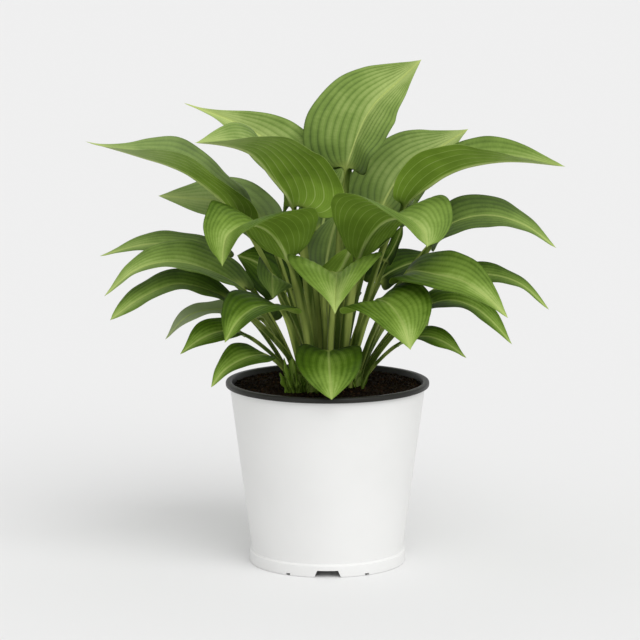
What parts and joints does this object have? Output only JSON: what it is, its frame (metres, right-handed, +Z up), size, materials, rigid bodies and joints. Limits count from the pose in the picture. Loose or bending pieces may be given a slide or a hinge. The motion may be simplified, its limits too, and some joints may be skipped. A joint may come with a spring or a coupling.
{
  "type": "potted hosta plant",
  "caption": "Full-grown hosta with arching heart-shaped ribbed leaves in a round white nursery pot with a black inner lining and rolled rim.",
  "frame": {"origin": "on the ground under the middle of the pot's foot ring", "axes": "+Z up, -Y the front of the plant as pictured, +X to the right of it"},
  "size_m": [0.4973, 0.3335, 0.5326],
  "materials": {
    "white_plastic": "satin white polypropylene with a fine moulded surface",
    "black_plastic": "satin black polypropylene",
    "soil": "damp dark potting mix of bark crumbs, rough",
    "leaf": "satin green leaf, ribbed along curved veins, with a paler yellow-green midrib and stalk"
  },
  "bodies": {
    "root": {"pot_wall": "white_plastic", "pot_lining": "black_plastic", "soil": "soil", "leaf_top": "leaf", "leaf_upper_left": "leaf", "leaf_upper_right": "leaf", "leaf_left_reaching": "leaf", "leaf_left_long": "leaf", "leaf_right_long": "leaf", "leaf_left_second": "leaf", "leaf_right_second": "leaf", "leaf_left_arching": "leaf", "leaf_right_arching": "leaf", "leaf_front_heart": "leaf", "leaf_front_low": "leaf", "leaf_right_front": "leaf", "leaf_left_front": "leaf", "leaf_right_wide": "leaf", "leaf_right_behind": "leaf", "leaf_right_lower": "leaf", "leaf_right_bottom": "leaf", "leaf_right_shaded": "leaf", "leaf_left_thin": "leaf", "leaf_left_third": "leaf", "leaf_left_fourth": "leaf", "leaf_left_fifth": "leaf", "leaf_left_sixth": "leaf", "leaf_left_bottom": "leaf", "leaf_left_small": "leaf", "leaf_center_upright": "leaf", "leaf_center_low": "leaf", "leaf_back_high": "leaf", "leaf_back_high_left": "leaf", "leaf_back_high_right": "leaf", "leaf_back_right": "leaf", "leaf_back_left": "leaf", "leaf_back_low_right": "leaf", "leaf_back_low_left": "leaf", "leaf_back_low": "leaf", "leaf_left_inner": "leaf", "leaf_right_inner": "leaf"}
  },
  "joints": []
}
